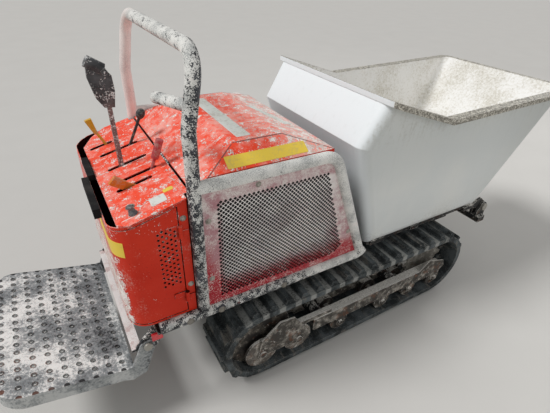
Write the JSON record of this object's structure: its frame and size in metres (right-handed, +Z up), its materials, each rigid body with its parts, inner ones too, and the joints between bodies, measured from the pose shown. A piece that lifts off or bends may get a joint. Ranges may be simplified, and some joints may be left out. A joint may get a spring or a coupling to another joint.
{
  "type": "tracked stand-on site dumper",
  "caption": "Compact stand-on site dumper on rubber tracks with a front-tipping hopper, side guards, lever console, hood and fold-up step.",
  "frame": {"origin": "on the ground, under the middle of the overall box", "axes": "+X to the hopper end, +Y to the left of a person standing on the step, +Z up"},
  "size_m": [2.53, 0.79, 1.305],
  "materials": {
    "red_paint": "satin, dusty",
    "grey_paint": "worn, speckled",
    "dark_paint": "dirty satin",
    "black_paint": "satin",
    "off_white_paint": "dusty satin",
    "engine_iron": "rough cast",
    "cast_wheels": "muddy",
    "bare_steel": "dull",
    "chromed_steel": "polished",
    "black_rubber": "matt",
    "track_rubber": "dusty matt",
    "foam": "matt foam",
    "yellow_paint": "satin",
    "orange_paint": "satin",
    "red_lens": "gloss"
  },
  "bodies": {
    "chassis": {"bay_front_panel": "red_paint", "cabinet_shell": "red_paint", "chassis_frame": "dark_paint", "console_top": "red_paint", "door_hinges": "bare_steel", "drive_unit": "dark_paint", "engine_block": "engine_iron", "engine_deck": "dark_paint", "front_cross_bar": "dark_paint", "grab_bar": "grey_paint", "guard_frame_left": "grey_paint", "guard_frame_right": "grey_paint", "handle_bar": "foam", "hood_hinges": "bare_steel", "hopper_rest_pads": "black_rubber", "lever_dark_knob": "bare_steel", "lever_orange": "orange_paint", "lever_red_knob": "bare_steel", "lever_shaft": "bare_steel", "lever_tall_grip": "dark_paint", "lever_yellow": "yellow_paint", "mesh_panel_left": "red_paint", "mesh_panel_right": "red_paint", "operator_hoop": "grey_paint", "pivot_pins": "bare_steel", "reflectors": "red_lens", "rollers_left": "cast_wheels", "rollers_right": "cast_wheels", "sprocket_left": "cast_wheels", "sprocket_right": "cast_wheels", "step_brackets": "dark_paint", "tension_discs_left": "bare_steel", "tension_discs_right": "bare_steel", "track_beam_left": "grey_paint", "track_beam_right": "grey_paint", "track_left": "track_rubber", "track_right": "track_rubber"},
    "hood_lid": {"hood": "red_paint"},
    "side_door": {"cabinet_door": "red_paint"},
    "step": {"step_deck": "black_paint"},
    "hopper": {"hopper_tub": "off_white_paint", "hopper_cradle": "dark_paint"},
    "lift_barrel": {"cylinder_barrel": "dark_paint"},
    "lift_rod": {"cylinder_rod": "chromed_steel"}
  },
  "joints": [
    {"name": "hopper_tilt", "type": "hinge", "parent": "chassis", "child": "hopper", "pos_m": [0.945, 0, 0.397], "axis": [0, 1, 0], "range_deg": [0, 80]},
    {"name": "cylinder_swing", "type": "hinge", "parent": "chassis", "child": "lift_barrel", "pos_m": [0.08, 0, 0.196], "axis": [0, -1, 0], "range_deg": [0, 17.7]},
    {"name": "cylinder_extend", "type": "slide", "parent": "lift_barrel", "child": "lift_rod", "axis": [0.9661, 0, 0.2582], "range_m": [0, 0.322]},
    {"name": "hood_open", "type": "hinge", "parent": "chassis", "child": "hood_lid", "pos_m": [-0.099, 0, 0.911], "axis": [0, 1, 0], "range_deg": [0, 60]},
    {"name": "door_open", "type": "hinge", "parent": "chassis", "child": "side_door", "pos_m": [-0.668, -0.347, 0.667], "axis": [0, 0, 1], "range_deg": [0, 95]},
    {"name": "step_fold", "type": "hinge", "parent": "chassis", "child": "step", "pos_m": [-0.813, 0, 0.34], "axis": [0, 1, 0], "range_deg": [0, 72]}
  ],
  "couplings": [
    {"joint": "cylinder_swing", "follows": "hopper_tilt", "ratio": 0.22005},
    {"joint": "cylinder_extend", "follows": "hopper_tilt", "m_per_rad": 0.23012}
  ]
}
